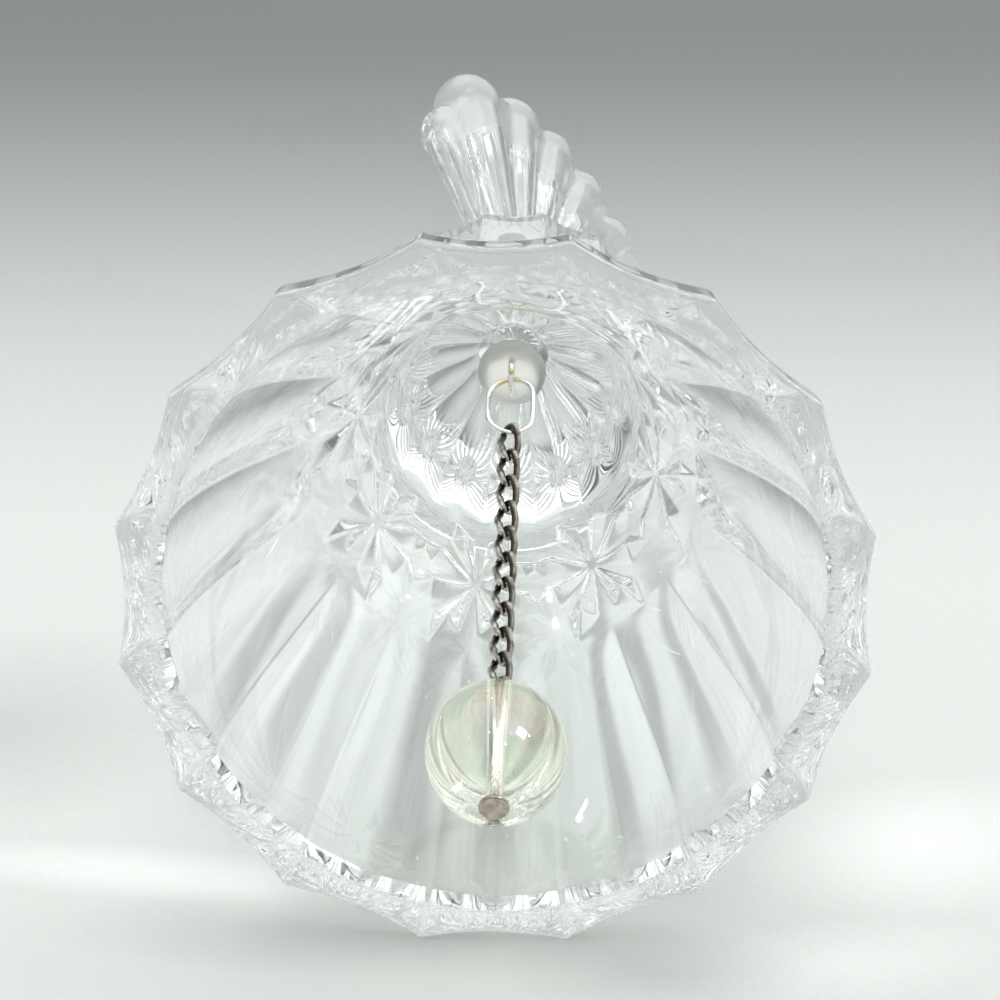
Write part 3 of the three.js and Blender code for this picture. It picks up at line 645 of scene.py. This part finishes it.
# Clapper bead
# A pressed glass bead of pale straw with a fired lustre, a little longer than wide, with a bore for
# the pin; it turns freely on it.
bore = math.asin(BORE_RADIUS / BEAD_RADIUS)
side_turn = np.linspace(-math.pi / 2 + bore, math.pi / 2 - bore, 64)
bore_z = np.linspace(BEAD_HALF * math.cos(bore), -BEAD_HALF * math.cos(bore), 12)[1:-1]
bead_radius = np.concatenate([BEAD_RADIUS * np.cos(side_turn), np.full(len(bore_z), BORE_RADIUS)])
bead_height = bead_middle + np.concatenate([BEAD_HALF * np.sin(side_turn), bore_z])
bead_rings = turned(np.column_stack([bead_radius, bead_height]), 96)
glass_bead = add_piece("glass_bead", [skin(hung(bead_rings, at, swings[-1]), loop=True)])
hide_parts("clapper_bead")
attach(glass_bead, "bead")

lustre, lustre_nodes, lustre_links, lustre_shader = new_material("lustred_bead")
lustre_shader.inputs["Transmission Weight"].default_value = 1.0
lustre_shader.inputs["IOR"].default_value = 1.5
lustre_shader.inputs["Thin Film Thickness"].default_value = 320
lustre_shader.inputs["Thin Film IOR"].default_value = 1.7
lustre_effect = polished(
    lustre_nodes, lustre_links, lustre_shader,
    thin=(0.985, 0.99, 0.90, 1), deep=(0.95, 0.97, 0.82, 1), scale=120, bump=0.05)
lustre_links.new(lustre_effect.outputs["Haze"], lustre_shader.inputs["Roughness"])
lets_lamps_through(lustre_nodes, lustre_links, lustre_shader, LAMP_SHARE)
glass_bead.data.materials.append(lustre)

# Table
# A plain pale cloth. Its colour carries painted shade that makes it greyer behind, and painted light and
# shade that the glass throws on it.
FLOOR_HALF, FLOOR_DROP, PALE_UNTIL, GREY_FROM = 2.5, 0.0002, -0.005, 0.155
edge = np.linspace(-FLOOR_HALF, FLOOR_HALF, 3)
floor_points = np.stack(np.meshgrid(edge, edge, [-FLOOR_DROP], indexing="ij"), axis=-1).reshape(-1, 3)
corner = np.array([0, 1, 3, 4])
floor_faces = np.column_stack([corner, corner + 3, corner + 4, corner + 1])
floor_mesh = bpy.data.meshes.new("table_cloth")
floor_mesh.from_pydata(floor_points.tolist(), [], floor_faces.tolist())
table = bpy.data.objects.new("table_cloth", floor_mesh)
scene.collection.objects.link(table)

cloth, cloth_nodes, cloth_links, cloth_shader = new_material("pale_cloth")
cloth_place = cloth_nodes.new("ShaderNodeTexCoord").outputs["Object"]
cloth_axes = cloth_nodes.new("ShaderNodeSeparateXYZ")
cloth_links.new(cloth_place, cloth_axes.inputs[0])
# Painted shade: the pale cloth colour eases to dark grey towards the back, where shade falls on the cloth
cloth_with_painted_shade = cloth_nodes.new("ShaderNodeMix")
cloth_with_painted_shade.data_type = "RGBA"
cloth_with_painted_shade.inputs["A"].default_value = (0.86, 0.885, 0.85, 1)
cloth_with_painted_shade.inputs["B"].default_value = (0.23, 0.248, 0.24, 1)
cloth_parts = (cloth_nodes, cloth_links)
painted_back_shade = remapped(*cloth_parts, cloth_axes.outputs["Y"], PALE_UNTIL, GREY_FROM, 0, 1)
cloth_links.new(painted_back_shade, cloth_with_painted_shade.inputs["Factor"])
cloth_mottle = cloth_nodes.new("ShaderNodeMix")
cloth_mottle.data_type = "RGBA"
cloth_mottle.blend_type = "MULTIPLY"
cloth_mottle.inputs["Factor"].default_value = 1.0
cloth_links.new(cloth_with_painted_shade.outputs["Result"], cloth_mottle.inputs["A"])
cloth_cloud = cloth_nodes.new("ShaderNodeValToRGB")
cloth_cloud.color_ramp.elements[0].color = (0.93, 0.93, 0.93, 1)
cloth_cloud.color_ramp.elements[1].color = (1, 1, 1, 1)
cloth_links.new(noise_of(*cloth_parts, cloth_place, 9, 3), cloth_cloud.inputs["Fac"])
cloth_links.new(cloth_cloud.outputs["Color"], cloth_mottle.inputs["B"])


def add_pool(nodes, links, coordinate, level, place, half, turn, strength):
    """Adds to a level a soft oval of light or shade: strength times a gradient that is 1 in the middle
    of the oval and eases to 0 at its edge."""
    oval, gradient = nodes.new("ShaderNodeMapping"), nodes.new("ShaderNodeTexGradient")
    total = nodes.new("ShaderNodeMath")
    oval.vector_type = "TEXTURE"
    oval.inputs["Location"].default_value = (*place, 0)
    oval.inputs["Rotation"].default_value = (0, 0, turn)
    oval.inputs["Scale"].default_value = (*half, 1)
    gradient.gradient_type = "SPHERICAL"
    total.operation = "MULTIPLY_ADD"
    total.inputs[1].default_value = strength
    links.new(coordinate, oval.inputs["Vector"])
    links.new(oval.outputs["Vector"], gradient.inputs["Vector"])
    links.new(gradient.outputs["Fac"], total.inputs[0])
    if level is None:
        total.inputs[2].default_value = 1.0
    else:
        links.new(level, total.inputs[2])
    return total.outputs[0]


# Light that the cut glass throws on the cloth, and the shade between: the middle of each oval, its two
# half lengths, its turn, and how much it adds
pools = None
for place, half, pool_turn, strength in (
        ((-0.036, -0.0608), (0.030, 0.005), -0.10, 0.22), ((0.043, -0.054), (0.018, 0.013), 0.3, 0.22),
        ((0.036, -0.0745), (0.016, 0.008), 0.2, 0.16), ((-0.012, -0.0705), (0.036, 0.008), 0.0, -0.20),
        ((0.016, -0.0765), (0.016, 0.008), 0.0, -0.20), ((-0.054, -0.034), (0.022, 0.020), 0.5, -0.18)):
    pools = add_pool(*cloth_parts, cloth_place, pools, place, half, pool_turn, strength)

# The flutes throw it as rays that fan out under the skirt from behind the handle: noise over the angle,
# drawn out along the radius, and faded at the edge of the skirt's print
ray_place = cloth_nodes.new("ShaderNodeMapping")
ray_place.vector_type = "TEXTURE"
ray_place.inputs["Location"].default_value = (0, 0.09, 0)
ray_place.inputs["Rotation"].default_value = (0, 0, -math.pi / 2)
cloth_links.new(cloth_place, ray_place.inputs["Vector"])
ray_angle = cloth_nodes.new("ShaderNodeTexGradient")
ray_angle.gradient_type = "RADIAL"
cloth_links.new(ray_place.outputs["Vector"], ray_angle.inputs["Vector"])
ray_noise = noise_of(*cloth_parts, ray_angle.outputs["Fac"], 70, 1)
ray_fade = add_pool(*cloth_parts, cloth_place, None, (-0.001, -0.026), (0.039, 0.047), 0, 1.6)
ray_level = cloth_nodes.new("ShaderNodeMath")
ray_level.operation = "MULTIPLY"
cloth_links.new(remapped(*cloth_parts, ray_noise, 0.36, 0.64, -0.28, 0.22), ray_level.inputs[0])
cloth_links.new(remapped(*cloth_parts, ray_fade, 1.03, 1.6, 0, 1), ray_level.inputs[1])
ray_sum = cloth_nodes.new("ShaderNodeMath")
cloth_links.new(pools, ray_sum.inputs[0])
cloth_links.new(ray_level.outputs[0], ray_sum.inputs[1])
cloth_pools = cloth_nodes.new("ShaderNodeMix")
cloth_pools.data_type = "RGBA"
cloth_pools.blend_type = "MULTIPLY"
cloth_pools.inputs["Factor"].default_value = 1.0
cloth_links.new(cloth_mottle.outputs["Result"], cloth_pools.inputs["A"])
cloth_links.new(ray_sum.outputs[0], cloth_pools.inputs["B"])
cloth_links.new(cloth_pools.outputs["Result"], cloth_shader.inputs["Base Color"])
cloth_bump = cloth_nodes.new("ShaderNodeBump")
cloth_bump.inputs["Strength"].default_value = 0.15
cloth_bump.inputs["Distance"].default_value = 0.0004
cloth_links.new(noise_of(*cloth_parts, cloth_place, 900, 2), cloth_bump.inputs["Height"])
cloth_links.new(cloth_bump.outputs["Normal"], cloth_shader.inputs["Normal"])
cloth_shader.inputs["Roughness"].default_value = 0.9
table.data.materials.append(cloth)

# Light
# Soft grey surroundings, a broad window behind the bell, small bright panes that only glass and
# metal show, as the glints on cut edges, and a roof light that smooth faces mirror.
LIT_PLACE, LIGHT_BOUNCES = np.array([0, -0.02, 0.03]), 32
surroundings = bpy.data.worlds.new("studio")
scene.world = surroundings
surroundings.use_nodes = True
air_nodes, air_links = surroundings.node_tree.nodes, surroundings.node_tree.links
air_axes = air_nodes.new("ShaderNodeSeparateXYZ")
air_links.new(air_nodes.new("ShaderNodeTexCoord").outputs["Generated"], air_axes.inputs[0])
air_tone = air_nodes.new("ShaderNodeValToRGB")
air_tone.color_ramp.interpolation = "EASE"
air_tone.color_ramp.elements[0].position = 0.1
air_tone.color_ramp.elements[0].color = (0.26, 0.27, 0.275, 1)
air_tone.color_ramp.elements[1].position = 0.75
air_tone.color_ramp.elements[1].color = (0.76, 0.78, 0.78, 1)
air_links.new(air_axes.outputs["Z"], air_tone.inputs["Fac"])
air_shade = air_nodes.new("ShaderNodeMix")
air_shade.data_type = "RGBA"
air_shade.blend_type = "MULTIPLY"
air_shade.inputs["Factor"].default_value = 1.0
air_links.new(air_tone.outputs["Color"], air_shade.inputs["A"])
air_patch = noise_of(air_nodes, air_links, air_nodes["Texture Coordinate"].outputs["Generated"], 2.4, 1)
air_links.new(remapped(air_nodes, air_links, air_patch, 0.42, 0.54, 0.25, 1.0), air_shade.inputs["B"])
air_links.new(air_shade.outputs["Result"], air_nodes["Background"].inputs["Color"])
air_nodes["Background"].inputs["Strength"].default_value = 1.26


def pane(name, place, size, watts, glints_only=False, seen_through=True):
    """A square area lamp that faces the bell; one for glints leaves matt surfaces unlit, and one that
    isn't seen through glass only shows where a face mirrors it."""
    lamp = bpy.data.lights.new(name, "AREA")
    lamp.size = size
    lamp.energy = watts
    holder = bpy.data.objects.new(name, lamp)
    away = np.array(place) - LIT_PLACE
    holder.location = place
    tilt, heading = math.atan2(math.hypot(away[0], away[1]), away[2]), math.atan2(away[0], -away[1])
    holder.rotation_euler = (tilt, 0, heading)
    holder.visible_camera = False
    holder.visible_diffuse = not glints_only
    holder.visible_transmission = seen_through
    scene.collection.objects.link(holder)


pane("window", (0.30, 0.55, 0.75), 2.0, 11.5)
for number, place in enumerate((
        (-0.55, -0.25, 0.60), (0.60, -0.10, 0.50), (0.05, 0.10, 0.90), (-0.35, 0.45, 0.70),
        (0.50, 0.40, 0.45), (-0.65, 0.15, 0.30), (0.20, -0.45, 0.60), (-0.15, -0.30, 0.85))):
    pane(f"glint_{number}", place, 0.03, 0.12, glints_only=True)
pane("roof_light", (0.64, -0.14, 0.79), 0.28, 2.4, glints_only=True, seen_through=False)
scene.cycles.max_bounces = LIGHT_BOUNCES
scene.cycles.transmission_bounces = LIGHT_BOUNCES
scene.cycles.glossy_bounces = LIGHT_BOUNCES
scene.view_settings.view_transform = "Standard"

# Camera
# A long lens a little above the table, looking down into the mouth.
lens = bpy.data.cameras.new("camera")
lens.lens = 162
lens.sensor_width = 36
camera = bpy.data.objects.new("camera", lens)
camera.location = (0.01213, -0.44038, 0.27106)
camera.rotation_euler = tuple(math.radians(a) for a in (59.264, 0.1295, 1.6876))
scene.collection.objects.link(camera)
scene.camera = camera

bpy.context.view_layer.update()
